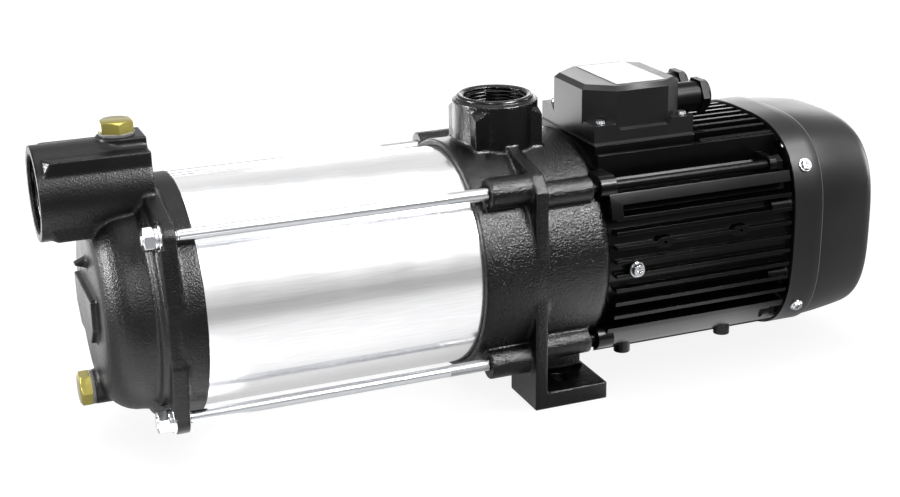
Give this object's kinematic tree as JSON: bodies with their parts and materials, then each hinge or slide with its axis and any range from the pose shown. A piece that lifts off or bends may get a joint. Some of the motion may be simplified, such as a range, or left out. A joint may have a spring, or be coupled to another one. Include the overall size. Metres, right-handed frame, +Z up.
{
  "type": "horizontal multistage pump",
  "caption": "Horizontal multistage centrifugal pump with an axial suction port, a top discharge port, a tie-rod barrel and a finned fan-cooled motor on two feet.",
  "frame": {"origin": "centre of the two foot bolt slots, on the base plane under the feet", "axes": "+X along the shaft from the suction end to the motor's cowl, +Z up, out of the discharge port"},
  "size_m": [0.5523, 0.1551, 0.2044],
  "materials": {
    "cast_iron": "rough cast, black painted",
    "rubber": "matte",
    "stainless": "fine brushed round the barrel",
    "zinc_steel": "bright zinc plated",
    "brass": "machined, bright",
    "washer_nylon": "satin",
    "pressed_steel": "pressed, satin",
    "shaft_steel": "ground",
    "bearing_steel": "polished",
    "seal_carbon": "lapped",
    "seal_ceramic": "lapped",
    "core_steel": "laminated",
    "copper": "varnished wire",
    "housing_black": "black paint, semi gloss",
    "black_steel": "black painted",
    "cast_aluminium": "as cast",
    "fan_plastic": "moulded",
    "cowl_plastic": "satin moulded",
    "board_plastic": "moulded",
    "cover_plastic": "satin moulded",
    "gland_plastic": "moulded",
    "plate_white": "blank plate"
  },
  "bodies": {
    "pump": {"suction_casing": "cast_iron", "front_barrel_seal": "rubber", "barrel": "stainless", "rear_barrel_seal": "rubber", "tie_rods": "zinc_steel", "tie_rod_nuts": "zinc_steel", "tie_rod_washers": "zinc_steel", "discharge_bracket": "cast_iron", "inlet_plate": "pressed_steel", "stage_casing_1": "pressed_steel", "stage_casing_2": "pressed_steel", "stage_casing_3": "pressed_steel", "stage_casing_4": "pressed_steel", "stage_casing_5": "pressed_steel", "seal_seat": "seal_ceramic", "seal_boot": "rubber", "front_bearing_outer": "bearing_steel", "rear_bearing_outer": "bearing_steel", "wave_spring": "shaft_steel", "stator_core": "core_steel", "stator_windings": "copper", "motor_housing": "housing_black", "motor_bolts": "black_steel", "rear_end_shield": "cast_aluminium", "shield_screws": "zinc_steel", "fan_cowl": "cowl_plastic", "cowl_screws": "zinc_steel", "terminal_gasket": "rubber", "terminal_board": "board_plastic", "terminal_cover": "cover_plastic", "terminal_cover_screws": "zinc_steel", "gland_bodies": "gland_plastic", "gland_nuts": "gland_plastic", "gland_seals": "rubber", "earth_screw": "zinc_steel", "earth_washer": "zinc_steel", "rating_plate": "plate_white"},
    "rotor": {"impeller_1": "pressed_steel", "impeller_2": "pressed_steel", "impeller_3": "pressed_steel", "impeller_4": "pressed_steel", "impeller_5": "pressed_steel", "impeller_spacers": "pressed_steel", "impeller_nut": "shaft_steel", "shaft": "shaft_steel", "impeller_key": "shaft_steel", "seal_head": "seal_carbon", "seal_spring": "shaft_steel", "flinger": "rubber", "front_bearing_inner": "bearing_steel", "rear_bearing_inner": "bearing_steel", "rotor_core": "core_steel", "cooling_fan": "fan_plastic", "fan_clip": "shaft_steel"},
    "front_cage": {"front_bearing_balls": "bearing_steel"},
    "rear_cage": {"rear_bearing_balls": "bearing_steel"},
    "priming_plug": {"priming_plug": "brass", "priming_washer": "washer_nylon"},
    "drain_plug": {"drain_plug": "brass", "drain_washer": "washer_nylon"}
  },
  "joints": [
    {"name": "rotor_spin", "type": "hinge", "parent": "pump", "child": "rotor", "pos_m": [0, 0, 0.09], "axis": [1, 0, 0], "continuous": true},
    {"name": "front_cage_spin", "type": "hinge", "parent": "pump", "child": "front_cage", "pos_m": [0.0175, 0, 0.09], "axis": [1, 0, 0], "continuous": true},
    {"name": "rear_cage_spin", "type": "hinge", "parent": "pump", "child": "rear_cage", "pos_m": [0.1654, 0, 0.09], "axis": [1, 0, 0], "continuous": true},
    {"name": "priming_plug_out", "type": "slide", "parent": "pump", "child": "priming_plug", "axis": [0, 0, 1], "range_m": [0, 0.014]},
    {"name": "drain_plug_out", "type": "slide", "parent": "pump", "child": "drain_plug", "axis": [-1, 0, 0], "range_m": [0, 0.014]}
  ],
  "couplings": [
    {"joint": "front_cage_spin", "follows": "rotor_spin", "ratio": 0.397},
    {"joint": "rear_cage_spin", "follows": "rotor_spin", "ratio": 0.3815}
  ]
}
